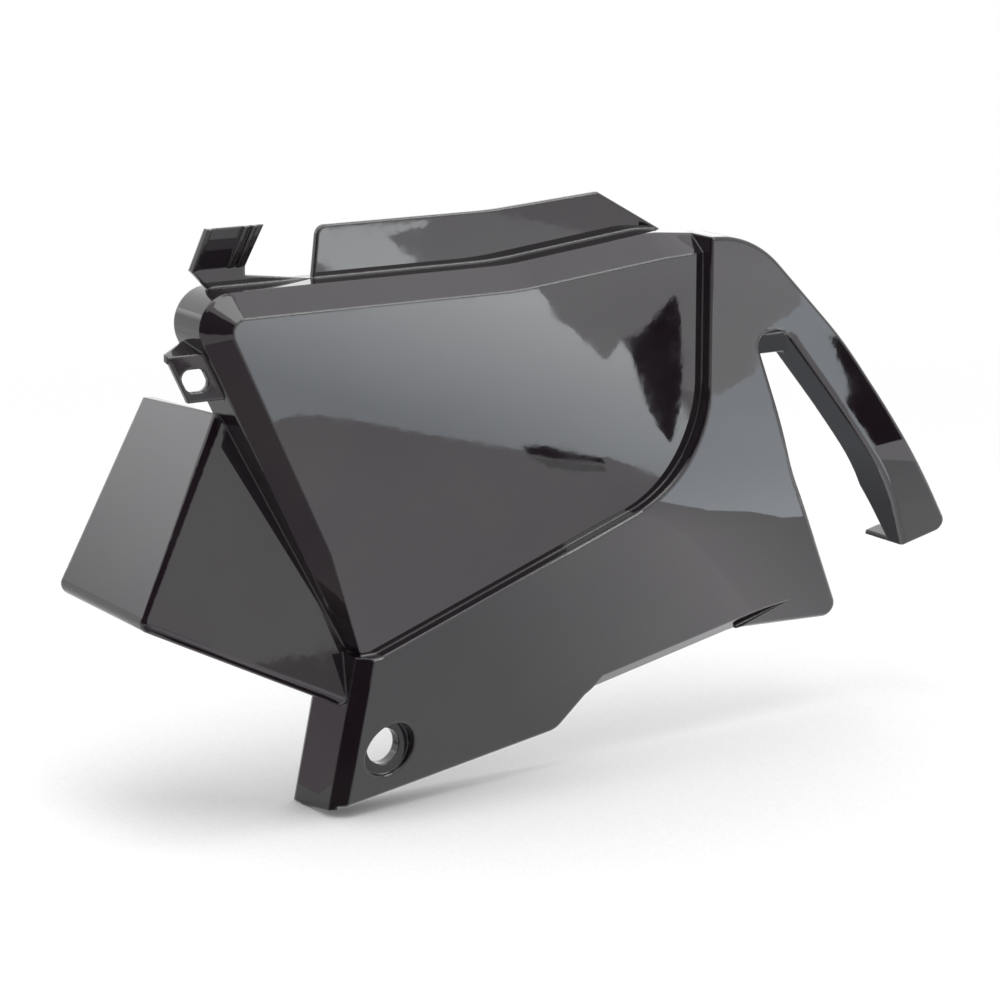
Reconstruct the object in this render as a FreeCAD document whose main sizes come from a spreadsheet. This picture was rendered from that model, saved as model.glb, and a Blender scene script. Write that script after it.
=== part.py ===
"""Motorcycle side cover, one moulded piece, in millimetres.

X runs to the rear of the machine, Y runs inward from the outer face and Z runs up.
The origin is the centre of the lower bolt hole, on the seat of its counterbore.
"""
import FreeCAD, Part
import math
import os
import Sketcher

V = FreeCAD.Vector
INWARD = V(0, 1, 0)
ORIGIN = V(0, 0, 0)
UPRIGHT = 90.0
CLEAR = 800.0
TINY = 0.001
ARC_ROOM = 0.95

SIZES = {
    # Walls and levels, measured outward from the seat of the lower bolt.
    "wall": 2.5,
    "panel_proud": 15.5,
    "bevel_depth": 7.5,
    "rim_break": 0.8,
    "rim_depth": 19.7,
    "step_proud": 21.0,
    "skirt_depth": 20.0,
    "back_limit": 9.4,
    "low_slope": 20.0,
    "side_slope": 8.0,
    "skirt_blend": 150.0,
    # Main panel, seen from the outside.
    "top_height": 177.4,
    "rise_start": 50.0,
    "rise_radius": 150.0,
    "crest_reach": 114.0,
    "crest_height": 184.4,
    "crest_radius": 40.0,
    "step_height": 182.8,
    "nose_reach": 84.0,
    "nose_radius": 13.0,
    "foot_reach": 18.6,
    "foot_height": 40.8,
    "step_reach": 132.0,
    "step_foot_reach": 12.0,
    "bend_height": 92.0,
    "bend_radius": 50.0,
    "foot_radius": 6.0,
    # Bevel round the panel face.
    "top_bevel": 8.5,
    "crest_bevel": 8.9,
    "step_bevel": 6.3,
    "nose_bevel": 13.9,
    "face_radius": 5.0,
    "taper_height": 80.7,
    "taper_reach": 29.6,
    "step_lap": 1.0,
    # Skirt and leg below the step.
    "boss_reach": 20.5,
    "boss_drop": 22.3,
    "boss_chamfer": 5.4,
    "boss_depth": 25.5,
    "boss_fall": 3.8,
    "knee_reach": 82.0,
    "knee_rise": 13.4,
    "knee_radius": 8.0,
    "haunch_run": 13.2,
    "haunch_rise": 14.6,
    "haunch_radius": 12.0,
    "belly_run": 73.0,
    "belly_rise": 13.5,
    "belly_radius": 40.0,
    "belly_bevel": 4.7,
    "belly_bevel_depth": 2.5,
    "bevel_run": 26.3,
    "bevel_rise": 7.9,
    "heel_run": 58.6,
    "heel_drop": 4.6,
    "heel_radius": 5.0,
    "leg_run": 47.2,
    "leg_rise": 71.0,
    "leg_radius": 90.0,
    # Gap between leg and arm, and the arm itself.
    "gap_reach": 24.0,
    "gap_height": 142.5,
    "gap_width": 15.6,
    "gap_radius": 4.5,
    "arm_root_radius": 14.0,
    "arm_run": 63.4,
    "arm_fall": 70.0,
    "arm_radius": 200.0,
    "end_run": 18.3,
    "end_fall": 31.0,
    "end_width": 24.6,
    "end_rise": 5.1,
    "tip_radius": 4.0,
    "shoulder_run": 22.0,
    "shoulder_fall": 1.0,
    "shoulder_radius": 50.0,
    "elbow_run": 49.0,
    "elbow_fall": 6.7,
    "elbow_radius": 220.0,
    "arch_slope": 38.0,
    "arch_drop": 10.6,
    "arch_radius": 6.0,
    # Rounded edges.
    "edge_radius": 1.2,
    "gap_edge_radius": 2.4,
    "ridge_radius": 5.0,
    "wing_edge_radius": 3.0,
    "plate_radius": 0.6,
    "bore_radius": 0.8,
    # Lower bolt hole.
    "bolt_hole": 14.0,
    "bolt_seat": 22.0,
    "seat_wall": 5.0,
    # Wing at the front.
    "wing_proud": 13.3,
    "wing_tilt": 8.5,
    "wing_top": 132.5,
    "wing_apex": 62.0,
    "wing_reach": 100.5,
    "wing_side": 72.2,
    "wing_root": 17.6,
    "wing_drop": 41.8,
    "wing_root_rise": 24.5,
    "wing_radius": 4.0,
    "wing_back": 65.0,
    "wing_top_fall": 4.6,
    "wing_root_back": 12.0,
    # Slotted ear beside the nose.
    "ear_proud": 5.0,
    "ear_reach": 88.0,
    "ear_root": 64.0,
    "ear_lean": 8.2,
    "ear_top": 156.3,
    "ear_drop": 17.3,
    "ear_web_depth": 15.0,
    "ear_web_rise": 3.5,
    "slot_reach": 84.0,
    "slot_width": 10.0,
    "slot_lean": 3.9,
    "slot_drop": 5.4,
    "slot_height": 8.0,
    "slot_radius": 3.0,
    # Flange that stands on the top edge, and the low strip in front of it.
    "flange_back": 4.0,
    "flange_reach": 22.6,
    "flange_lean": 2.2,
    "flange_height": 18.9,
    "flange_radius": 4.0,
    "flange_crown": 15.2,
    "flange_run": 47.0,
    "flange_end_run": 12.0,
    "flange_sink": 1.2,
    "strip_reach": 53.0,
    "strip_height": 3.6,
    # Folded tab at the front end of the top edge.
    "tab_reach": 73.4,
    "tab_width": 21.2,
    "tab_neck": 7.4,
    "tab_fold": 6.7,
    "tab_height": 17.3,
    "tab_lean": 26.5,
    "tab_skew": 2.5,
    "tab_flare": 1.1,
    "tab_wall": 2.2,
    "rib_height": 1.2,
    "rib_width": 1.8,
    "rib_pitch": 3.4,
    "rib_inset": 7.0,
    # Tongue at the end of the arm.
    "tongue_depth": 25.0,
    "tongue_width": 6.9,
    "tongue_rise": 1.5,
    "tongue_wall": 1.8,
}

doc = FreeCAD.newDocument("side_cover")
sheet = doc.addObject("Spreadsheet::Sheet", "sizes")
for row, (alias, value) in enumerate(SIZES.items(), start=1):
    sheet.set(f"A{row}", str(value))
    sheet.setAlias(f"A{row}", alias)
doc.recompute()


def signed(terms):
    """Pairs of sign and name in a sum such as '- nose_reach + nose_bevel'."""
    sign = 1.0
    for word in terms.split():
        if word in "+-":
            sign = 1.0 if word == "+" else -1.0
        else:
            yield sign, word
            sign = 1.0


def amount(terms):
    """Value of a sum of sheet names."""
    return sum(sign * float(sheet.get(name)) for sign, name in signed(terms))


def bound(terms, share=1.0):
    """The same sum, or a share of it, as an expression on the sheet."""
    return " ".join(f"{'+' if sign > 0 else '-'} {share} * sizes.{name}" for sign, name in signed(terms))


def rounding(before, corner, after, radius):
    """Arc that rounds a corner, and its two tangent points."""
    back = (before - corner).normalize()
    ahead = (after - corner).normalize()
    half = back.getAngle(ahead) / 2
    entry = corner + back * (radius / math.tan(half))
    leave = corner + ahead * (radius / math.tan(half))
    centre = corner + (back + ahead).normalize() * (radius / math.sin(half))
    turns_left = (corner - before).cross(after - corner).z > 0
    first, last = (entry, leave) if turns_left else (leave, entry)
    start = math.atan2(first.y - centre.y, first.x - centre.x)
    stop = math.atan2(last.y - centre.y, last.x - centre.x)
    arc = Part.ArcOfCircle(Part.Circle(centre, V(0, 0, 1), radius), start, stop)
    return arc, entry, leave, turns_left


def arc_shares(places, corners):
    """Share of each corner's radius that its two sides have room for, one where it fits."""
    count = len(places)
    needs = []
    for index, (across, height, radius) in enumerate(corners):
        back, ahead = places[index - 1] - places[index], places[(index + 1) % count] - places[index]
        needs.append(amount(radius) / math.tan(back.getAngle(ahead) / 2) if radius else 0.0)
    rooms = []
    for index in range(count):
        side = (places[index] - places[index - 1]).Length
        need = needs[index - 1] + needs[index]
        rooms.append(min(1.0, ARC_ROOM * side / need) if need else 1.0)
    return [min(rooms[index], rooms[(index + 1) % count]) for index in range(count)]


def outline(name, level, corners, lean="", height=""):
    """Closed sketch seen from the outside, at a level inward of the bolt seat.

    Each corner is an x sum, a z sum and the name of its radius, or None where it is
    sharp. A corner without an x lies on the straight line between its neighbours.
    A radius is held to what the sides of its corner have room for.
    A leaning sketch turns about its lower edge, top outward, at a height on the part.
    """
    sketch = doc.addObject("Sketcher::SketchObject", name)
    turn = FreeCAD.Rotation(V(1, 0, 0), UPRIGHT + amount(lean))
    sketch.Placement = FreeCAD.Placement(ORIGIN, turn)
    sketch.setExpression("Placement.Base.y", bound(level))
    if lean:
        sketch.setExpression("Placement.Rotation.Angle", f"{UPRIGHT} {bound(lean)}")
    if height:
        sketch.setExpression("Placement.Base.z", bound(height))
    count = len(corners)
    places = []
    for index, (across, height, radius) in enumerate(corners):
        places.append(None if across is None else V(amount(across), amount(height), 0))
    for index, place in enumerate(places):
        if place is None:
            low, high = places[index - 1], places[(index + 1) % count]
            height = amount(corners[index][1])
            share = (height - low.y) / (high.y - low.y)
            places[index] = V(low.x + (high.x - low.x) * share, height, 0)
    entries, leaves, arcs = list(places), list(places), {}
    shares = arc_shares(places, corners)
    for index, (across, height, radius) in enumerate(corners):
        if radius:
            around = places[index - 1], places[index], places[(index + 1) % count]
            arcs[index] = rounding(*around, amount(radius) * shares[index])
            entries[index], leaves[index] = arcs[index][1], arcs[index][2]
    for index in range(count):
        sketch.addGeometry(Part.LineSegment(leaves[index], entries[(index + 1) % count]))
    for index, (across, height, radius) in enumerate(corners):
        before, after = (index - 1) % count, index
        if radius:
            arc, entry, leave, turns_left = arcs[index]
            bow = sketch.addGeometry(arc)
            peak = sketch.addGeometry(Part.Point(places[index]), True)
            first, last = (1, 2) if turns_left else (2, 1)
            sketch.addConstraint(Sketcher.Constraint("Tangent", before, 2, bow, first))
            sketch.addConstraint(Sketcher.Constraint("Tangent", bow, last, after, 1))
            sketch.addConstraint(Sketcher.Constraint("PointOnObject", peak, 1, before))
            sketch.addConstraint(Sketcher.Constraint("PointOnObject", peak, 1, after))
            fix = Sketcher.Constraint("Radius", bow, amount(radius) * shares[index])
            drive(sketch, f"radius_{index}", fix, radius, shares[index])
            spot = peak
        elif across is not None:
            sketch.addConstraint(Sketcher.Constraint("Coincident", before, 2, after, 1))
            spot = after
        else:
            sketch.addConstraint(Sketcher.Constraint("Tangent", before, 2, after, 1))
            spot = after
        if across is not None:
            fix = Sketcher.Constraint("DistanceX", spot, 1, places[index].x)
            drive(sketch, f"across_{index}", fix, across)
        fix = Sketcher.Constraint("DistanceY", spot, 1, places[index].y)
        drive(sketch, f"height_{index}", fix, height)
    return sketch


def drive(sketch, name, constraint, terms, share=1.0):
    """Add a dimension to a sketch and bind it to a sum on the sheet, or to a share of it."""
    index = sketch.addConstraint(constraint)
    sketch.renameConstraint(index, name)
    if terms:
        sketch.setExpression(f"Constraints.{name}", bound(terms, share))


def inset(name, source, terms):
    """Copy of an outline, moved inward where the sum is negative."""
    offset = doc.addObject("Part::Offset2D", name)
    offset.Source = source
    offset.Join = "Arc"
    offset.setExpression("Value", bound(terms))
    return offset


def prism(name, base, length):
    """Solid drawn inward from an outline, by a sum on the sheet or a plain length."""
    solid = doc.addObject("Part::Extrusion", name)
    solid.Base = base
    solid.DirMode = "Custom"
    solid.Dir = INWARD
    solid.Solid = True
    if isinstance(length, str):
        solid.setExpression("LengthFwd", bound(length))
    else:
        solid.LengthFwd = length
    return solid


def through(name, base):
    """Solid of an outline that passes the whole part."""
    solid = prism(name, base, CLEAR)
    solid.LengthRev = CLEAR
    return solid


def loft(name, sections):
    """Ruled solid between two outlines."""
    solid = doc.addObject("Part::Loft", name)
    solid.Sections = sections
    solid.Solid = True
    solid.Ruled = True
    return solid


def common(name, base, tool):
    """What two solids share."""
    shared = doc.addObject("Part::Common", name)
    shared.Base = base
    shared.Tool = tool
    return shared


def fuse(name, *solids):
    """All the solids as one."""
    union = doc.addObject("Part::MultiFuse", name)
    union.Shapes = list(solids)
    return union


def cut(name, base, tool):
    """The base without the tool."""
    rest = doc.addObject("Part::Cut", name)
    rest.Base = base
    rest.Tool = tool
    return rest


def behind(name, point, inward):
    """Block that fills everything behind a plane."""
    block = doc.addObject("Part::Box", name)
    block.Length, block.Width, block.Height = 2 * CLEAR, 2 * CLEAR, CLEAR
    turn = FreeCAD.Rotation(V(0, 0, 1), inward)
    block.Placement = FreeCAD.Placement(point - turn.multVec(V(CLEAR, CLEAR, 0)), turn)
    return block


def outer_edges(shape):
    """Edges between a wall that runs inward and a face that looks outward.

    Each comes as its number, its middle and the normal of the wall there.
    """
    for number, edge in enumerate(shape.Edges, start=1):
        middle = edge.valueAt((edge.FirstParameter + edge.LastParameter) / 2)
        normals = []
        for face in shape.ancestorsOfType(edge, Part.Face):
            normals.append(face.normalAt(*face.Surface.parameter(middle)))
        walls = [normal for normal in normals if abs(normal.y) < TINY]
        faces = [normal for normal in normals if normal.y < -TINY]
        if walls and faces:
            yield number, middle, walls[0]


def soften(name, base, radius_of):
    """Round the outer edges of a solid, each by the size that its place asks for."""
    doc.recompute()
    rounded = doc.addObject("Part::Fillet", name)
    rounded.Base = base
    edges = []
    for number, middle, wall in outer_edges(base.Shape):
        size = radius_of(middle, wall)
        if size:
            edges.append((number, amount(size), amount(size)))
    rounded.Edges = edges
    return rounded


# Outlines, seen from the outside.
TOP = [
    ("- nose_reach", "top_height", "nose_radius"),
    ("rise_start", "top_height", "rise_radius"),
    ("crest_reach", "crest_height", "crest_radius"),
    ("step_reach", "step_height", None),
]
LAP = [
    ("step_reach + step_lap", "bend_height - step_lap", "bend_radius"),
    ("- step_foot_reach", "foot_height - step_lap", None),
]
RIM = [
    *TOP,
    ("step_reach + step_lap", "step_height - step_lap", None),
    *LAP,
    ("- foot_reach", "foot_height", None),
    (None, "taper_height", None),
]
BROW = [
    ("- nose_reach + rim_break", "top_height - rim_break", "nose_radius"),
    ("rise_start", "top_height - rim_break", "rise_radius"),
    ("crest_reach", "crest_height - rim_break", "crest_radius"),
    ("step_reach", "step_height - rim_break", None),
    ("step_reach + step_lap", "step_height - rim_break - step_lap", None),
    *LAP,
    ("- foot_reach + rim_break", "foot_height", None),
    (None, "taper_height", None),
]
FACE = [
    ("- nose_reach + nose_bevel", "top_height - top_bevel", "face_radius"),
    ("rise_start", "top_height - top_bevel", "rise_radius"),
    ("crest_reach", "crest_height - crest_bevel", "crest_radius"),
    ("step_reach", "step_height - step_bevel", None),
    ("step_reach + step_lap", "step_height - step_bevel - step_lap", None),
    *LAP,
    ("- foot_reach + rim_break", "foot_height", None),
    ("- taper_reach", "taper_height", None),
]
STEP = [
    ("step_reach", "crest_height + crest_height", None),
    ("step_reach", "bend_height", "bend_radius"),
    ("- step_foot_reach", "foot_height", "foot_radius"),
    ("- nose_reach - nose_reach", "foot_height", None),
    ("- nose_reach - nose_reach", "crest_height + crest_height", None),
]
HEEL_X = "knee_reach + haunch_run + belly_run + heel_run"
HEEL_Z = "- boss_drop + knee_rise + haunch_rise + belly_rise - heel_drop"
ARM_X = "step_reach + gap_reach + gap_width + arm_run"
ARM_Z = "gap_height - arm_fall"
COVER = [
    *TOP,
    ("step_reach + shoulder_run", "step_height - shoulder_fall", "shoulder_radius"),
    ("step_reach + shoulder_run + elbow_run", "gap_height - elbow_fall", "elbow_radius"),
    (f"{ARM_X} + end_run + end_width", f"{ARM_Z} - end_fall + end_rise", "tip_radius"),
    (f"{ARM_X} + end_run", f"{ARM_Z} - end_fall", None),
    (ARM_X, ARM_Z, "arm_radius"),
    ("step_reach + gap_reach + gap_width", "gap_height", "arm_root_radius"),
    ("step_reach + gap_reach", "gap_height", "gap_radius"),
    (f"{HEEL_X} - leg_run", f"{HEEL_Z} + leg_rise", "leg_radius"),
    (HEEL_X, HEEL_Z, "heel_radius"),
    ("knee_reach + haunch_run + belly_run", "- boss_drop + knee_rise + haunch_rise + belly_rise",
     "belly_radius"),
    ("knee_reach + haunch_run", "- boss_drop + knee_rise + haunch_rise", "haunch_radius"),
    ("knee_reach", "- boss_drop + knee_rise", "knee_radius"),
    ("- boss_reach", "- boss_drop", None),
    ("- boss_reach", "foot_height", None),
    ("- foot_reach", "foot_height", None),
]


def panel_block(name, sunk):
    """Bevelled block of the main panel, sunk inward by a sum on the sheet."""
    face = outline(f"{name}_face", f"- panel_proud {sunk}", FACE)
    brow = outline(f"{name}_brow", f"- panel_proud + bevel_depth {sunk}", BROW)
    rim = outline(f"{name}_rim", f"- panel_proud + bevel_depth + rim_break {sunk}", RIM)
    return fuse(name, loft(f"{name}_bevel", [face, brow, rim]), prism(f"{name}_block", rim, "rim_depth"))


def low_face(sunk):
    """Corner of the step and the inward normal of the lower skirt plane."""
    run = V(amount("step_reach + step_foot_reach"), 0, amount("bend_height - foot_height")).normalize()
    low = math.radians(amount("low_slope"))
    corner = V(amount("step_reach"), amount(f"- step_proud {sunk}"), amount("bend_height"))
    return corner, V(-run.z, 0, run.x) * math.sin(low) + INWARD * math.cos(low)


def on_low_face(across, height, sunk=""):
    """Point of the lower skirt plane."""
    corner, normal = low_face(sunk)
    level = V(across, corner.y, height)
    return level - INWARD * ((level - corner).dot(normal) / normal.y)


def skirt_block(name, sunk):
    """Everything behind the outer face of the skirt: two planes, a round and a bevel."""
    corner, low_normal = low_face(sunk)
    side = math.radians(amount("side_slope"))
    side_normal = V(-math.sin(side), math.cos(side), 0)
    planes = common(f"{name}_planes", behind(f"{name}_low", corner, low_normal),
                    behind(f"{name}_side", corner, side_normal))
    doc.recompute()
    along = low_normal.cross(side_normal)
    crease = [index for index, edge in enumerate(planes.Shape.Edges, start=1)
              if edge.tangentAt(edge.FirstParameter).cross(along).Length < TINY
              and edge.distToShape(Part.Vertex(corner))[0] < TINY]
    rounded = doc.addObject("Part::Fillet", f"{name}_round")
    rounded.Base = planes
    rounded.Edges = [(index, amount("skirt_blend"), amount("skirt_blend")) for index in crease]
    start = on_low_face(amount("boss_chamfer - boss_reach"), 0, sunk)
    bevel = behind(f"{name}_bevel", start, (low_normal + V(1, 0, 0)).normalize())
    return common(name, rounded, bevel)


def belly_cut():
    """Wedge that bevels the lower edge of the skirt between haunch and heel."""
    knee_z = "- boss_drop + knee_rise"
    belly_x, belly_z = "knee_reach + haunch_run + belly_run", f"{knee_z} + haunch_rise + belly_rise"
    plan = outline("bevel_plan", "- step_proud", [
        ("knee_reach", knee_z, None),
        (belly_x, "- boss_drop", None),
        (belly_x, belly_z, None),
        (f"{belly_x} + bevel_run", f"{belly_z} + bevel_rise", None),
        ("knee_reach + haunch_run + haunch_run", f"{knee_z} + haunch_rise + haunch_rise", None),
    ])
    edge = V(amount("belly_run"), 0, amount("belly_rise")).normalize()
    up = V(-edge.z, 0, edge.x)
    foot = V(amount(belly_x), 0, amount(belly_z))
    crease = foot + up * amount("belly_bevel")
    first = on_low_face(crease.x, crease.z)
    second = on_low_face(crease.x - edge.x, crease.z - edge.z)
    third = on_low_face(foot.x, foot.z) + INWARD * amount("belly_bevel_depth")
    outward = (second - first).cross(third - first).normalize()
    return common("belly_cut", through("bevel_block", plan), behind("bevel_front", first, outward))


# Solid form of the outside.
skirt = skirt_block("skirt", "")
skirt_sheet = cut("skirt_sheet", skirt, skirt_block("skirt_back", "+ skirt_depth"))
step = outline("step", "- step_proud", STEP)
cover = outline("cover", "- step_proud", COVER)
skirt_form = cut("skirt_form", common("skirt_trimmed", through("cover_block", cover), skirt_sheet),
                 through("inside_step", step))


def skirt_edge(middle, wall):
    """Radius on the outer edge of the skirt, softer from the arm round the gap to the boss."""
    on_boss = middle.x < amount("boss_chamfer - boss_reach")
    if on_boss and wall.z > TINY:
        return None
    leg = V(amount(f"{HEEL_X} - leg_run"), 0, amount(f"{HEEL_Z} + leg_rise"))
    gap = (leg + V(amount(ARM_X), 0, amount(ARM_Z))) / 2
    beyond = middle.x > amount("step_reach") + TINY
    faces_gap = beyond and wall.x * (gap.x - middle.x) + wall.z * (gap.z - middle.z) > 0
    faces_down = wall.z < -TINY and middle.x < amount(HEEL_X) and not on_boss
    return "gap_edge_radius" if faces_gap or faces_down else "edge_radius"


soft_skirt = soften("soft_skirt", skirt_form, skirt_edge)
form = fuse("form", panel_block("panel", ""), cut("skirt_bevelled", soft_skirt, belly_cut()))

# Hollow behind it, one wall further in.
wide_step = inset("wide_step", step, "wall")
behind_step = prism("behind_step", wide_step, CLEAR)
behind_step.setExpression("Placement.Base.y", bound("step_proud - panel_proud + bevel_depth + wall"))
behind_skirt = cut("behind_skirt", skirt_block("skirt_inside", "+ wall"),
                   through("inside_wide_step", wide_step))
hollow = fuse("hollow", behind_skirt, behind_step, panel_block("panel_inside", "+ wall"))
core = common("core", through("core_block", inset("core_outline", cover, "- wall")), hollow)
hull = cut("hull", form, core)
arm_end = on_low_face(amount(f"{ARM_X} + end_run"), amount(f"{ARM_Z} - end_fall"))
back = V(0, arm_end.y + amount("back_limit"), 0)
trimmed = cut("trimmed", hull, behind("behind_cover", back, INWARD))
relief = prism("relief", outline("relief_plan", "wall - ear_proud", [
    ("- ear_reach", "ear_top - ear_drop", None),
    ("- ear_root + wall", "ear_top - ear_drop", None),
    ("- ear_root + wall", "ear_top - wall", None),
    ("- ear_reach", "ear_top - wall", None),
]), CLEAR)
shell = cut("shell", trimmed, relief)


def bore_edge(middle, wall):
    """Radius on the rim of the counterbore."""
    inside = math.hypot(middle.x, middle.z) < amount("bolt_seat") / 2 + TINY
    return "bore_radius" if inside and middle.y < -TINY else None


def bolt_cup():
    """Cup round the lower bolt hole, flush with the skirt, and the room it takes."""
    cup = doc.addObject("Part::Cylinder", "cup")
    seat = doc.addObject("Part::Cylinder", "bolt_seat")
    hole = doc.addObject("Part::Cylinder", "bolt_hole")
    for barrel in (cup, seat, hole):
        barrel.Placement.Rotation = FreeCAD.Rotation(V(0, 0, 1), INWARD)
    cup.setExpression("Radius", "sizes.bolt_seat / 2 + sizes.wall")
    cup.setExpression("Height", "sizes.step_proud + sizes.seat_wall")
    cup.setExpression("Placement.Base.y", "-sizes.step_proud")
    seat.setExpression("Radius", "sizes.bolt_seat / 2")
    seat.setExpression("Height", "sizes.step_proud")
    seat.setExpression("Placement.Base.y", "-sizes.step_proud")
    hole.setExpression("Radius", "sizes.bolt_hole / 2")
    hole.setExpression("Height", "sizes.step_proud")
    bored = cut("bored_cup", common("flush_cup", cup, skirt), fuse("bolt_cut", seat, hole))
    return soften("soft_cup", bored, bore_edge), cup


def boss_flange():
    """Plate on the front side of the boss that carries its wall further back."""
    plan = outline("boss_plan", "- step_proud", [
        ("- boss_reach", "- boss_drop - boss_fall", None),
        ("- boss_reach + wall", "- boss_drop - boss_fall", None),
        ("- boss_reach + wall", "foot_height", None),
        ("- boss_reach", "foot_height", None),
    ])
    reach = cut("boss_reach_back", skirt, skirt_block("boss_back", "+ boss_depth"))
    plate = common("boss_plate", through("boss_block", plan), reach)
    foot = on_low_face(-amount("boss_reach"), -amount("boss_drop"))
    down = V(0, -amount("boss_fall"), -amount("boss_depth")).normalize()
    return cut("boss_flange", plate, behind("boss_foot", foot, down))


def wing_edge(middle, wall):
    """Radius on the outer edge of the wing, largest on the ridge at its front."""
    if wall.z > TINY and wall.x > TINY:
        return None
    return "ridge_radius" if wall.x < -TINY and wall.z > TINY else "wing_edge_radius"


def front_wing():
    """Deep pocket beside the foot of the panel, open at the back and at the top."""
    corners = [
        ("- wing_apex", "wing_top", None),
        ("- wing_reach", "wing_top - wing_side", "wing_radius"),
        ("- wing_root", "wing_top - wing_side - wing_drop", "wing_radius"),
        ("- wing_root", "wing_top - wing_side - wing_drop + wing_root_rise", None),
    ]
    plan = outline("wing_plan", "- wing_proud", corners, lean="- wing_tilt")
    block = soften("wing_soft", prism("wing_block", plan, CLEAR), wing_edge)
    room = prism("wing_room", inset("wing_inside", plan, "- wall"), CLEAR)
    room.setExpression("Placement.Base.y", bound("wall"))
    rise = V(amount("wing_reach - wing_apex"), 0, amount("wing_side"))
    low = V(-amount("wing_reach"), amount("wing_back"), amount("wing_top - wing_side"))
    root = V(-amount("wing_root"), amount("wing_root_back"), amount("wing_top - wing_side - wing_drop"))
    away = rise.cross(root - low).normalize()
    open_back = cut("wing_open", cut("wing_shell", block, room), behind("wing_behind", low, away))
    apex = V(-amount("wing_apex"), -amount("wing_proud"), amount("wing_top"))
    up = V(0, amount("wing_top_fall"), amount("wing_back + wing_proud")).normalize()
    return cut("wing", open_back, behind("wing_above", apex, up))


def plate_edge(middle, wall):
    """Radius on the outer edge of a thin plate."""
    return "plate_radius"


def flange_edge(middle, wall):
    """Radius on the free edge of the flange."""
    return "plate_radius" if wall.z > TINY and middle.z > amount("top_height + strip_height") else None


def slotted_ear():
    """Flat ear with a leaning slot, and the web that ties it to the nose."""
    lower = "ear_top - ear_drop"
    plan = outline("ear_plan", "- ear_proud", [
        ("- ear_reach", "ear_top", None),
        ("- ear_root - ear_lean", "ear_top", None),
        ("- ear_root", lower, None),
        ("- ear_reach + ear_lean", lower, None),
    ])
    slot_top, slot_foot = "ear_top - slot_drop", "ear_top - slot_drop - slot_height"
    slot = outline("slot_plan", "- ear_proud", [
        ("- slot_reach", slot_top, "slot_radius"),
        ("- slot_reach + slot_width", slot_top, "slot_radius"),
        ("- slot_reach + slot_width + slot_lean", slot_foot, "slot_radius"),
        ("- slot_reach + slot_lean", slot_foot, "slot_radius"),
    ])
    plate = cut("ear_plate", prism("ear_block", plan, "wall"), through("slot", slot))
    strip = prism("ear_strip", outline("web_plan", "- ear_proud", [
        ("- ear_reach", "ear_top", None),
        ("- ear_root - ear_lean", "ear_top", None),
        ("- ear_root - ear_lean", "ear_top - wall", None),
        ("- ear_reach", "ear_top - wall", None),
    ]), "ear_web_depth")
    slope = V(0, amount("ear_web_depth"), amount("ear_web_rise"))
    strip.Dir = slope / slope.y
    tip = V(-amount("ear_reach"), amount("wall - ear_proud"), 0)
    heel = V(-amount("ear_root + ear_lean"), amount("ear_web_depth - ear_proud"), 0)
    away = (heel - tip).cross(V(0, 0, -1)).normalize()
    return fuse("ear", soften("ear_soft", plate, plate_edge), cut("ear_web", strip, behind("web_back", tip, away)))


def top_flange():
    """Upright flange on the top edge with the low strip that runs in front of it."""
    base = "top_height - flange_sink"
    plan = outline("flange_plan", "flange_back", [
        ("- strip_reach", base, None),
        ("- strip_reach", "top_height + strip_height", None),
        ("- flange_reach - flange_lean", "top_height", None),
        ("- flange_reach", "top_height + flange_height", "flange_radius"),
        ("rise_start", "top_height + flange_height", "rise_radius"),
        ("rise_start + flange_run", "crest_height + flange_crown", None),
        ("crest_reach + flange_end_run", "crest_height - flange_sink", None),
        ("crest_reach", "crest_height - flange_sink", None),
        ("rise_start", base, "rise_radius"),
    ])
    return soften("flange_soft", prism("flange", plan, "wall"), flange_edge)


def folded_tab():
    """Tab that stands on the top edge and leans outward above its fold, with ribs."""
    base, fold = "top_height - flange_sink", "top_height + tab_fold"
    neck = prism("tab_neck", outline("neck_plan", "flange_back", [
        ("- tab_reach + tab_neck", base, None),
        ("- tab_reach", fold, None),
        ("- tab_reach + tab_width", fold, None),
        ("- tab_reach + tab_width", base, None),
    ]), "wall")
    leaf = prism("tab_leaf", leaning("leaf_plan", [
        ("- tab_reach", "", None),
        ("- tab_reach + tab_skew", "tab_height", None),
        ("- tab_reach + tab_width + tab_skew + tab_flare", "tab_height", None),
        ("- tab_reach + tab_width", "", None),
    ]), "tab_wall")
    pieces = [neck, leaf]
    first = "- tab_reach"
    second = "- tab_reach + tab_width - rib_inset"
    third = "- tab_reach + tab_width - rib_inset + rib_pitch"
    for number, start in enumerate((first, second, third), start=1):
        rib = prism(f"rib_{number}", leaning(f"rib_plan_{number}", [
            (start, "", None),
            (f"{start} + tab_skew", "tab_height", None),
            (f"{start} + tab_skew + rib_width", "tab_height", None),
            (f"{start} + rib_width", "", None),
        ]), "tab_wall")
        rib.setExpression("Placement.Base.y", bound("- rib_height"))
        pieces.append(rib)
    return fuse("tab", *pieces)


def leaning(name, corners):
    """Outline in the plane of the tab above its fold."""
    return outline(name, "flange_back", corners, lean="tab_lean", height="top_height + tab_fold")


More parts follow.
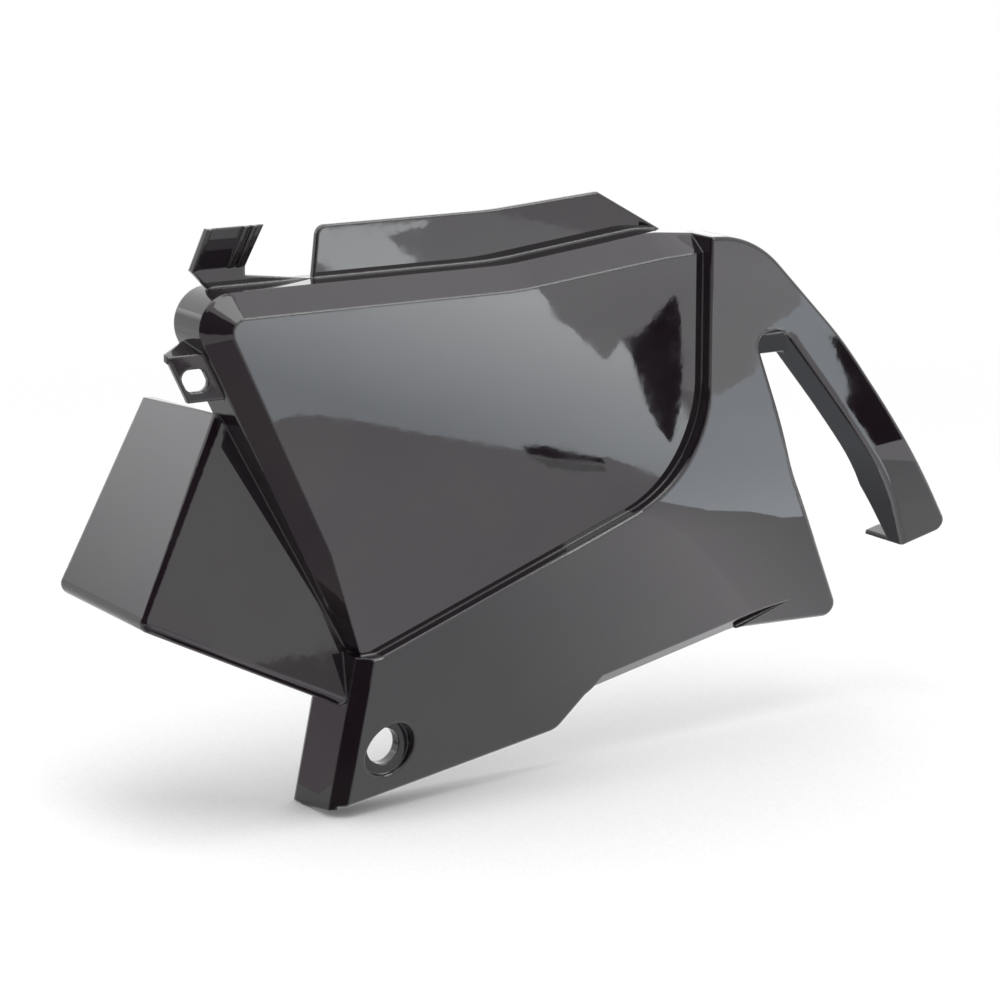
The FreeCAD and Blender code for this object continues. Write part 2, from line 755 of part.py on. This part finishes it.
def arch_web():
    """Sloping web that closes the top of the gap between leg and arm."""
    plan = outline("arch_plan", "- step_proud", [
        ("step_reach + gap_reach", "gap_height", None),
        (f"{HEEL_X} - leg_run", f"{HEEL_Z} + leg_rise", None),
        (ARM_X, ARM_Z, None),
        ("step_reach + gap_reach + gap_width", "gap_height", None),
    ])
    slope = math.radians(amount("arch_slope"))
    side = math.radians(amount("side_slope"))
    lip = V(0, amount("gap_reach") * math.tan(side) - amount("step_proud"), amount("gap_height"))
    up = V(0, math.sin(slope), math.cos(slope))
    front = lip + up * (amount("gap_edge_radius") / 2)
    above = behind("arch_rear", front + up * amount("wall"), up)
    slab = cut("arch_slab", behind("arch_front", front, up), above)
    block = through("arch_block", plan)
    web = common("arch_full", common("arch_trim", block, slab), skirt_sheet)
    top = amount("gap_height - arch_drop")
    room = common("arch_room", block, behind("arch_below", V(0, 0, top), V(0, 0, -1)))
    doc.recompute()
    rounded = doc.addObject("Part::Fillet", "arch_round")
    rounded.Base = room
    rounded.Edges = [(index, amount("arch_radius"), amount("arch_radius"))
                     for index, edge in enumerate(room.Shape.Edges, start=1)
                     if edge.BoundBox.ZMin > top - TINY and edge.BoundBox.YLength > CLEAR]
    return cut("arch_web", web, rounded)


def arm_tongue():
    """Tongue that carries the end wall of the arm further back."""
    near_x, near_z = f"{ARM_X} + end_run", f"{ARM_Z} - end_fall"
    plan = outline("tongue_plan", "- step_proud", [
        (near_x, near_z, None),
        (f"{near_x} + tongue_width", f"{near_z} + tongue_rise", None),
        (f"{near_x} + tongue_width", f"{near_z} + tongue_rise + tongue_wall", None),
        (near_x, f"{near_z} + tongue_wall", None),
    ])
    reach = cut("tongue_reach", skirt_block("tongue_front", "+ gap_edge_radius"),
                skirt_block("tongue_back", "+ tongue_depth"))
    return common("tongue", through("tongue_block", plan), reach)


soft_cup, cup_room = bolt_cup()
finished = fuse("whole", cut("open_shell", shell, cup_room), soft_cup, boss_flange(), front_wing(),
                slotted_ear(), top_flange(), folded_tab(), arch_web(), arm_tongue())
finished.Label = "side_cover"
doc.recompute()

for item in doc.Objects:
    for flag in item.State:
        if flag in ("Invalid", "Error"):
            raise RuntimeError(f"{item.Name} is in the state {flag}")
    if hasattr(item, "Shape") and (item.Shape.isNull() or not item.Shape.isValid()):
        raise RuntimeError(f"{item.Name} has no valid shape")
if len(finished.Shape.Solids) != 1:
    raise RuntimeError("the cover is not one solid")
os.makedirs("parts", exist_ok=True)
finished.Shape.exportStep(f"parts/{finished.Label}.step")
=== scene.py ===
"""Studio scene of a moulded motorcycle side cover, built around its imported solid.

The frame is the part's own: X to the rear of the machine, Y inward and Z up, in metres.
"""

import logging
from dataclasses import dataclass, field
from enum import Enum
from typing import Any, Iterable

import bpy
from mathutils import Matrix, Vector

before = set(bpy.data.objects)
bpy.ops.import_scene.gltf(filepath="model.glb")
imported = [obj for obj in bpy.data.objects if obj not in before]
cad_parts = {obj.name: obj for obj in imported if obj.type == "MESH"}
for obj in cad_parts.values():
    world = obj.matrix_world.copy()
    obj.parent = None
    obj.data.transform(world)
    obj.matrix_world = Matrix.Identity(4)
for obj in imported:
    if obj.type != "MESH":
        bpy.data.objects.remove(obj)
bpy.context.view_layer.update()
NODE = "side_cover"
MM = 0.001
FLOOR_LEVEL = -0.0263
PART_CENTRE = (0.09, 0.0, 0.09)
LOG = logging.getLogger("side_cover_scene")

Colour = tuple[float, float, float]
Point = tuple[float, float, float]
Plan = tuple[float, float]


class Blend(Enum):
    """How one colour is laid over another."""

    MIX = "MIX"
    MULTIPLY = "MULTIPLY"


class Axis(Enum):
    """Direction that a card is graded along."""

    X = "X"
    Z = "Z"


class Tone(Enum):
    """What a studio card sends back, as a tint and a strength."""

    FLASH = ((0.98, 1.0, 1.0), 13.0)
    BRIGHT = ((0.95, 0.99, 1.0), 7.6)
    LIGHT = ((0.90, 0.97, 1.04), 4.1)
    MID = ((1.0, 0.99, 1.01), 2.8)
    SOFT = ((0.98, 1.0, 1.01), 1.27)
    GREY = ((1.0, 0.98, 1.0), 2.05)
    DIM = ((1.0, 0.88, 0.94), 0.55)
    DARK = ((0.92, 0.98, 1.05), 0.30)
    BLACK = ((1.0, 0.60, 0.90), 0.02)


class Socket:
    """A shader value that takes part in ordinary arithmetic."""

    def __init__(self, graph: "Graph", output: bpy.types.NodeSocket) -> None:
        """Wrap an output socket.

        Args:
            graph: Node tree that the socket belongs to.
            output: Socket that carries the value.
        """
        self.graph = graph
        self.output = output

    def _math(self, operation: str, first: Any, second: Any) -> "Socket":
        """Add one Math node.

        Args:
            operation: Name of the operation.
            first: First operand, a number or a socket.
            second: Second operand, a number or a socket.

        Returns:
            The result of the operation.
        """
        return self.graph.add("ShaderNodeMath", {"operation": operation}, {0: first, 1: second})

    def __add__(self, other: Any) -> "Socket":
        """Sum."""
        return self._math("ADD", self, other)

    def __radd__(self, other: Any) -> "Socket":
        """Sum with a number on the left."""
        return self._math("ADD", other, self)

    def __sub__(self, other: Any) -> "Socket":
        """Difference."""
        return self._math("SUBTRACT", self, other)

    def __rsub__(self, other: Any) -> "Socket":
        """Difference with a number on the left."""
        return self._math("SUBTRACT", other, self)

    def __mul__(self, other: Any) -> "Socket":
        """Product."""
        return self._math("MULTIPLY", self, other)

    def __rmul__(self, other: Any) -> "Socket":
        """Product with a number on the left."""
        return self._math("MULTIPLY", other, self)


class Graph:
    """A node tree that is written as expressions."""

    def __init__(self, tree: bpy.types.NodeTree) -> None:
        """Start from an empty tree.

        Args:
            tree: Tree whose nodes are cleared and built anew.
        """
        self.tree = tree
        tree.nodes.clear()

    def node(self, kind: str, settings: dict[str, Any], inputs: dict[Any, Any]) -> bpy.types.Node:
        """Add one node.

        Args:
            kind: Type name of the node.
            settings: Properties that are set first. The stops of a ramp are pairs under "stops".
            inputs: Values or links, by the name or number of the input.

        Returns:
            The node.
        """
        made = self.tree.nodes.new(kind)
        for name, value in settings.items():
            if name == "stops":
                self._stops(made.color_ramp, value)
            else:
                setattr(made, name, value)
        for key, value in inputs.items():
            if isinstance(value, Socket):
                self.tree.links.new(value.output, made.inputs[key])
            else:
                made.inputs[key].default_value = value
        return made

    def add(self, kind: str, settings: dict[str, Any], inputs: dict[Any, Any], out: Any = 0) -> Socket:
        """Add one node and take one of its outputs.

        Args:
            kind: Type name of the node.
            settings: Properties that are set first.
            inputs: Values or links, by the name or number of the input.
            out: Name or number of the output that is wanted.

        Returns:
            The wanted output.
        """
        return Socket(self, self.node(kind, settings, inputs).outputs[out])

    def _stops(self, ramp: bpy.types.ColorRamp, stops: Iterable[tuple[float, float]]) -> None:
        """Set the grey stops of a colour ramp.

        Args:
            ramp: Ramp to set.
            stops: Pairs of position and grey value, in order.
        """
        wanted = list(stops)
        while len(ramp.elements) < len(wanted):
            ramp.elements.new(1.0)
        for element, (place, grey) in zip(ramp.elements, wanted):
            element.position = place
            element.color = (grey, grey, grey, 1.0)

    def noise(self, where: Socket, scale: float, detail: float, roughness: float = 0.5) -> Socket:
        """Fractal noise.

        Args:
            where: Coordinates in metres.
            scale: Features per metre.
            detail: Number of octaves.
            roughness: Weight of the finer octaves.

        Returns:
            Values about one half.
        """
        inputs = {"Vector": where, "Scale": scale, "Detail": detail, "Roughness": roughness}
        return self.add("ShaderNodeTexNoise", {}, inputs)

    def ramp(self, value: Socket, *stops: tuple[float, float]) -> Socket:
        """Grey ramp of a value.

        Args:
            value: Value that is looked up.
            stops: Pairs of position and grey value, in order.

        Returns:
            The grey value.
        """
        return self.add("ShaderNodeValToRGB", {"stops": stops}, {"Fac": value})

    def mix(self, share: Any, under: Any, over: Any, blend: Blend = Blend.MIX) -> Socket:
        """Lay one colour over another.

        Args:
            share: How much of the upper colour shows.
            under: Lower colour.
            over: Upper colour.
            blend: How the colours meet.

        Returns:
            The mixed colour.
        """
        settings = {"data_type": "RGBA", "blend_type": blend.value}
        inputs = {0: share, 6: opaque(under), 7: opaque(over)}
        return self.add("ShaderNodeMix", settings, inputs, out=2)


def opaque(colour: Any) -> Any:
    """Give a plain colour its alpha and leave a socket as it is.

    Args:
        colour: Three numbers or a socket.

    Returns:
        Four numbers or the socket.
    """
    return colour if isinstance(colour, Socket) else (*colour, 1.0)


def new_material(name: str) -> tuple[bpy.types.Material, Graph]:
    """Make an empty node material.

    Args:
        name: Name of the material.

    Returns:
        The material and its graph.
    """
    material = bpy.data.materials.new(name)
    material.use_nodes = True
    return material, Graph(material.node_tree)


def new_mesh(name: str, points: list[Point], faces: list[tuple[int, ...]]) -> bpy.types.Object:
    """Make a mesh object and put it in the scene.

    Args:
        name: Name of the object.
        points: Vertices in metres.
        faces: Vertex numbers of each face.

    Returns:
        The object.
    """
    mesh = bpy.data.meshes.new(name)
    mesh.from_pydata(points, [], faces)
    made = bpy.data.objects.new(name, mesh)
    bpy.context.scene.collection.objects.link(made)
    return made


@dataclass(frozen=True)
class GlossBlackPlastic:
    """Moulded black plastic with a polished skin."""

    name: str = "gloss_black_plastic"
    body: Colour = (0.0085, 0.0055, 0.0080)
    haze: Colour = (0.0125, 0.0100, 0.0112)
    dust: Colour = (0.16, 0.15, 0.14)
    polish: float = 0.016
    smear: float = 0.024
    ior: float = 1.49
    edge_round: float = 0.0011
    peel_scale: float = 210.0
    peel_height: float = 0.000004
    flow_scale: float = 26.0
    smear_scale: float = 70.2
    grain_scale: float = 2600.0
    grain_rough: float = 0.008
    speck_scale: float = 520.0
    speck_gap_scale: float = 150.0
    speck_share: float = 0.30
    speck_rough: float = 0.4

    def make(self) -> bpy.types.Material:
        """Build the material.

        Returns:
            Material for the moulding.
        """
        material, graph = new_material(self.name)
        where = graph.add("ShaderNodeTexCoord", {}, {}, out="Object")
        flow = graph.noise(where, self.flow_scale, detail=4.0, roughness=0.55)
        smears = graph.noise(where, self.smear_scale, detail=6.0, roughness=0.62)
        smears = graph.ramp(smears, (0.46, 0.0), (0.68, 1.0))
        spots = {"Vector": where, "Scale": self.speck_scale}
        cells = graph.add("ShaderNodeTexVoronoi", {}, spots, out="Distance")
        sparse = graph.noise(where, self.speck_gap_scale, detail=2.0)
        sparse = graph.ramp(sparse, (0.60, 0.0), (0.70, 1.0))
        specks = graph.ramp(cells, (0.055, 1.0), (0.090, 0.0)) * sparse * self.speck_share
        colour = graph.mix(graph.ramp(flow, (0.40, 0.0), (0.66, 1.0)), self.body, self.haze)
        colour = graph.mix(specks, colour, self.dust)
        grain = graph.noise(where, self.grain_scale, detail=2.0)
        rough = self.polish + self.smear * smears + grain * self.grain_rough + specks * self.speck_rough
        peel = graph.noise(where, self.peel_scale, detail=2.0, roughness=0.45)
        edges = graph.add("ShaderNodeBevel", {"samples": 6}, {"Radius": self.edge_round})
        bump = graph.add("ShaderNodeBump", {}, {
            "Strength": 1.0, "Distance": self.peel_height, "Height": peel, "Normal": edges,
        })
        surface = graph.add("ShaderNodeBsdfPrincipled", {}, {
            "Base Color": colour, "Roughness": rough, "IOR": self.ior, "Normal": bump,
        })
        graph.node("ShaderNodeOutputMaterial", {}, {"Surface": surface})
        return material


@dataclass(frozen=True)
class PaleFloor:
    """Pale floor paper that fades into the white of the room."""

    name: str = "pale_floor"
    paper: Colour = (0.86, 0.86, 0.86)
    fade_from: float = 0.35
    fade_to: float = 0.95
    fibre_scale: float = 900.0

    def make(self, centre: Point) -> bpy.types.Material:
        """Build the material.

        Args:
            centre: Point of the floor that the object stands over.

        Returns:
            Material for the floor.
        """
        material, graph = new_material(self.name)
        where = graph.add("ShaderNodeTexCoord", {}, {}, out="Object")
        offset = graph.add("ShaderNodeVectorMath", {"operation": "SUBTRACT"}, {0: where, 1: centre})
        away = graph.add("ShaderNodeVectorMath", {"operation": "LENGTH"}, {0: offset}, out="Value")
        far = graph.ramp(away * 0.5, (self.fade_from / 2, 0.0), (self.fade_to / 2, 1.0))
        fibre = graph.noise(where, self.fibre_scale, detail=3.0)
        fibre = graph.ramp(fibre, (0.3, 0.94), (0.7, 1.0))
        paper = graph.mix(1.0, self.paper, fibre, Blend.MULTIPLY)
        sheet = graph.add("ShaderNodeBsdfDiffuse", {}, {"Color": paper})
        white = graph.add("ShaderNodeEmission", {}, {"Color": (1.0, 1.0, 1.0, 1.0), "Strength": 1.0})
        seen = graph.add("ShaderNodeLightPath", {}, {}, out="Is Camera Ray")
        both = graph.add("ShaderNodeMixShader", {}, {0: far * seen, 1: sheet, 2: white})
        graph.node("ShaderNodeOutputMaterial", {}, {"Surface": both})
        return material


@dataclass
class SideCover:
    """The one moulding, carried over from the solid."""

    finish: GlossBlackPlastic = field(default_factory=GlossBlackPlastic)

    def build(self) -> bpy.types.Object:
        """Dress the moulding, whose solid already carries its normals.

        Returns:
            The moulding.
        """
        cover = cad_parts[NODE]
        cover.data.materials.clear()
        cover.data.materials.append(self.finish.make())
        return cover


@dataclass
class Floor:
    """Floor under the part."""

    half: float = 6.0
    level: float = FLOOR_LEVEL
    centre: Point = (0.09, 0.0, FLOOR_LEVEL)
    finish: PaleFloor = field(default_factory=PaleFloor)

    def build(self) -> bpy.types.Object:
        """Lay the floor.

        Returns:
            The floor.
        """
        signs = [(-1, -1), (1, -1), (1, 1), (-1, 1)]
        corners = [(x * self.half, y * self.half, self.level) for x, y in signs]
        sheet = new_mesh("floor", corners, [(0, 1, 2, 3)])
        sheet.data.materials.append(self.finish.make(self.centre))
        return sheet


@dataclass(frozen=True)
class Fade:
    """Even change of a card from its own tone to another along one axis, in millimetres."""

    axis: Axis
    start: float
    stop: float
    tone: Tone


@dataclass(frozen=True)
class Card:
    """Flat studio card that only shows in the gloss of the plastic."""

    name: str
    tone: Tone
    corners: tuple[Point, ...]
    fade: Fade | None = None
    patch_scale: float = 2.4
    patch_depth: float = 0.86

    def build(self) -> bpy.types.Object:
        """Cut the card and set it up.

        Returns:
            The card.
        """
        card = new_mesh(self.name, list(self.corners), [tuple(range(len(self.corners)))])
        card.data.materials.append(self._surface())
        card.visible_camera = False
        card.visible_diffuse = False
        card.visible_shadow = False
        card.visible_transmission = False
        return card

    def _surface(self) -> bpy.types.Material:
        """Build the glowing surface, a little uneven and graded where the card asks for it.

        Returns:
            Material for the card.
        """
        material, graph = new_material(self.name)
        tint, strength = self.tone.value
        where = graph.add("ShaderNodeTexCoord", {}, {}, out="Object")
        patches = graph.noise(where, self.patch_scale, detail=1.0)
        patches = graph.ramp(patches, (0.3, self.patch_depth), (0.7, 1.0))
        colour = graph.mix(1.0, tint, patches, Blend.MULTIPLY)
        if self.fade:
            other, other_strength = self.fade.tone.value
            goal = tuple(part * other_strength / strength for part in other)
            along = graph.add("ShaderNodeSeparateXYZ", {}, {"Vector": where}, out=self.fade.axis.value)
            length = (self.fade.stop - self.fade.start) * MM
            share = (along - self.fade.start * MM) * (1.0 / length)
            colour = graph.mix(graph.ramp(share, (0.0, 0.0), (1.0, 1.0)), colour, goal)
        glow = graph.add("ShaderNodeEmission", {}, {"Color": colour, "Strength": strength})
        graph.node("ShaderNodeOutputMaterial", {}, {"Surface": glow})
        return material


def laid(name: str, tone: Tone, lift: float, *corners: Plan, fade: Fade | None = None) -> Card:
    """Card that lies on the floor.

    Args:
        name: Name of the card.
        tone: What the card sends back.
        lift: Height above the floor in millimetres.
        corners: Plan positions in millimetres.
        fade: Change along the card, if any.

    Returns:
        The card.
    """
    level = FLOOR_LEVEL + lift * MM
    return Card(name, tone, tuple((x * MM, y * MM, level) for x, y in corners), fade)


def stood(name: str, tone: Tone, first: Plan, last: Plan, height: float, fade: Fade | None = None) -> Card:
    """Card that stands upright on the floor.

    Args:
        name: Name of the card.
        tone: What the card sends back.
        first: Plan position of one end in millimetres.
        last: Plan position of the other end in millimetres.
        height: Height of the card in millimetres.
        fade: Change along the card, if any.

    Returns:
        The card.
    """
    ends = [(first, 0.0), (last, 0.0), (last, height), (first, height)]
    corners = tuple((x * MM, y * MM, FLOOR_LEVEL + z * MM) for (x, y), z in ends)
    return Card(name, tone, corners, fade)


def hung(name: str, tone: Tone, direction: Point, distance: float, half: float) -> Card:
    """Square card that hangs in the air and faces the part.

    Args:
        name: Name of the card.
        tone: What the card sends back.
        direction: Way from the part to the card.
        distance: Distance from the part in metres.
        half: Half the side of the card in metres.

    Returns:
        The card.
    """
    away = Vector(direction).normalized()
    centre = Vector(PART_CENTRE) + away * distance
    across = away.cross(Vector((0.0, 0.0, 1.0))).normalized() * half
    rise = across.cross(away).normalized() * half
    low, high = centre - rise, centre + rise
    corners = (low - across, low + across, high + across, high - across)
    return Card(name, tone, tuple(tuple(corner) for corner in corners))


@dataclass
class Studio:
    """World light, one soft lamp and the cards that the plastic mirrors.

    The corners of the cards lie where rays from the camera, mirrored by the moulding, meet the floor.
    """

    wall: Colour = (1.0, 1.0, 1.0)
    room: float = 1.0
    room_in_gloss: float = 1.75
    lamp_place: Point = (-0.25, -0.35, 1.30)
    lamp_size: float = 0.9
    lamp_power: float = 9.0

    def cards(self) -> list[Card]:
        """Cards of the studio.

        Returns:
            All the cards, in the order they are set up.
        """
        groups = (self._papers, self._panel_cards, self._skirt_cards, self._shades, self._screens)
        return [card for group in groups for card in group()]

    def _papers(self) -> list[Card]:
        """Large papers on the floor, whose grey the lower panel and the skirt mirror.

        Returns:
            The papers.
        """
        return [
            laid("front_paper", Tone.GREY, 0.4,
                 (-60, -40), (60, -5), (420, 40), (1500, -300), (1500, -1600), (0, -1600)),
            laid("skirt_glow", Tone.SOFT, 0.8,
                 (-19, -150), (-19, 30), (232, 48), (232, -150),
                 fade=Fade(Axis.X, 90.0, 232.0, Tone.GREY)),
            laid("heel_glow", Tone.GREY, 0.8,
                 (232, -150), (232, 48), (420, 60), (420, -150),
                 fade=Fade(Axis.X, 232.0, 310.0, Tone.SOFT)),
            laid("far_paper", Tone.MID, 0.8,
                 (560, -640), (700, -480), (800, -490), (950, -590), (1100, -650), (1300, -760),
                 (1300, -1060), (870, -1120), (870, -1400), (560, -1400)),
        ]

    def _panel_cards(self) -> list[Card]:
        """Light sheets and dark flags that the panel and the flange mirror.

        Returns:
            The cards.
        """
        return [
            laid("panel_sheet", Tone.LIGHT, 1.0,
                 (303, -685), (329, -697), (341, -680), (354, -645), (367, -600), (374, -580), (387, -543),
                 (417, -503), (416, -470), (411, -445), (440, -450), (475, -500), (560, -640), (600, -720),
                 (625, -798), (577, -745), (597, -794), (620, -846), (632, -888), (667, -952), (687, -995),
                 (692, -1015), (445, -1015), (428, -975), (330, -765),
                 fade=Fade(Axis.X, 370.0, 660.0, Tone.BRIGHT)),
            laid("panel_flag", Tone.BLACK, 2.0,
                 (626, -797), (639, -801), (686, -850), (757, -925), (663, -783), (584, -670), (520, -582),
                 (468, -515), (465, -512), (485, -553), (513, -604), (552, -670), (586, -727)),
            laid("panel_bar", Tone.BLACK, 2.0,
                 (390, -550), (396, -544), (402, -546), (405, -516), (412, -501), (403, -485), (396, -500),
                 (386, -511), (382, -532)),
            laid("bar_shade", Tone.SOFT, 1.5,
                 (380, -528), (388, -504), (401, -484), (395, -472), (384, -477), (374, -497)),
            laid("flange_sheet", Tone.BRIGHT, 1.0,
                 (595, -1090), (622, -1170), (690, -1300), (800, -1300), (783, -1277), (724, -1237),
                 (702, -1178), (688, -1130), (655, -1085)),
        ]

    def _skirt_cards(self) -> list[Card]:
        """Light sheet and dark flag that the skirt and the arm mirror.

        Returns:
            The cards.
        """
        return [
            laid("skirt_sheet", Tone.LIGHT, 1.0,
                 (258, -120), (262, -84), (282, -68), (297, -54), (345, -85), (395, -130), (450, -165),
                 (545, -235), (660, -330), (809, -440), (860, -485), (930, -540), (1000, -590), (1090, -660),
                 (1080, -690), (1014, -640), (976, -622), (942, -607), (787, -506), (764, -498), (742, -489),
                 (723, -482), (712, -488), (550, -385), (310, -180)),
            laid("arm_flag", Tone.BLACK, 2.0,
                 (920, -545), (860, -494), (809, -449), (660, -338), (545, -240), (480, -180), (455, -155),
                 (470, -145), (520, -180), (620, -255), (700, -318), (830, -420), (900, -475), (960, -540)),
        ]

    def _shades(self) -> list[Card]:
        """Dark papers under and beside the part, and one soft sheet behind it.

        Returns:
            The papers.
        """
        return [
            laid("ear_shade", Tone.DIM, 1.0,
                 (230, -960), (370, -960), (350, -870), (318, -750), (292, -690), (200, -690),
                 fade=Fade(Axis.X, 331.0, 305.0, Tone.SOFT)),
            laid("front_shade", Tone.DIM, 1.0, (-320, -190), (-105, -100), (-95, 30), (-320, -60)),
            laid("boss_shade", Tone.BLACK, 1.0, (-103, -70), (-20, -60), (-20, 5), (-88, 0)),
            laid("boss_side_shade", Tone.DIM, 1.0, (-30, 30), (-30, 90), (-110, 170), (-140, 120)),
            laid("rear_shade", Tone.DARK, 1.0, (120, 65), (330, 65), (330, 280), (120, 280)),
            laid("rear_sheet", Tone.SOFT, 1.0, (-800, 700), (-350, 600), (-150, 1250), (-600, 1400)),
        ]

    def _screens(self) -> list[Card]:
        """Upright and hanging screens that the wing, the nose and the edges mirror.

        Returns:
            The screens.
        """
        return [
            stood("rear_screen", Tone.SOFT, (-1150, 1135), (-250, 1565), 590,
                  fade=Fade(Axis.Z, 325.0, 535.0, Tone.MID)),
            stood("left_flag", Tone.BLACK, (-1300, 900), (-900, -1300), 1200),
            hung("edge_screen", Tone.FLASH, (0.42, -0.64, 0.62), 2.0, 0.5),
            hung("top_screen", Tone.MID, (0.47, -0.19, 0.86), 1.6, 0.34),
        ]

    def build(self) -> None:
        """Light the scene."""
        world = bpy.context.scene.world or bpy.data.worlds.new("studio")
        bpy.context.scene.world = world
        world.use_nodes = True
        graph = Graph(world.node_tree)
        walls = opaque(self.wall)
        white = graph.add("ShaderNodeBackground", {}, {"Color": walls, "Strength": self.room})
        sheen = graph.add("ShaderNodeBackground", {}, {"Color": walls, "Strength": self.room_in_gloss})
        glossy = graph.add("ShaderNodeLightPath", {}, {}, out="Is Glossy Ray")
        both = graph.add("ShaderNodeMixShader", {}, {0: glossy, 1: white, 2: sheen})
        graph.node("ShaderNodeOutputWorld", {}, {"Surface": both})
        lamp = bpy.data.lights.new("soft_lamp", "AREA")
        lamp.energy = self.lamp_power
        lamp.size = self.lamp_size
        fitting = bpy.data.objects.new("soft_lamp", lamp)
        fitting.location = self.lamp_place
        fitting.visible_camera = False
        aim = Vector(PART_CENTRE) - Vector(self.lamp_place)
        fitting.rotation_euler = aim.to_track_quat("-Z", "Y").to_euler()
        bpy.context.scene.collection.objects.link(fitting)
        for card in self.cards():
            card.build()
            LOG.info("card %s", card.name)


@dataclass
class PhotoCamera:
    """Camera at the photograph's angle."""

    place: Point = (-0.6002, -1.0426, 0.3714)
    aim: Point = (0.0453, -0.0097, 0.0902)
    lens: float = 121.5
    sensor: float = 36.0

    def build(self) -> bpy.types.Object:
        """Set the camera up and make it the scene's own.

        Returns:
            The camera.
        """
        data = bpy.data.cameras.new("photo_camera")
        data.lens = self.lens
        data.sensor_width = self.sensor
        data.dof.use_dof = False
        camera = bpy.data.objects.new("photo_camera", data)
        camera.location = self.place
        look = Vector(self.aim) - Vector(self.place)
        camera.rotation_euler = look.to_track_quat("-Z", "Y").to_euler()
        bpy.context.scene.collection.objects.link(camera)
        bpy.context.scene.camera = camera
        return camera


def main() -> None:
    """Build the scene, piece by piece."""
    logging.basicConfig(level=logging.INFO, format="%(name)s: %(message)s")
    bpy.context.scene.view_settings.view_transform = "Standard"
    PhotoCamera().build()
    LOG.info("camera set")
    cover = SideCover().build()
    LOG.info("moulding %s dressed", cover.name)
    Floor().build()
    LOG.info("floor laid")
    Studio().build()
    LOG.info("studio lit")


if __name__ == "__main__":
    main()
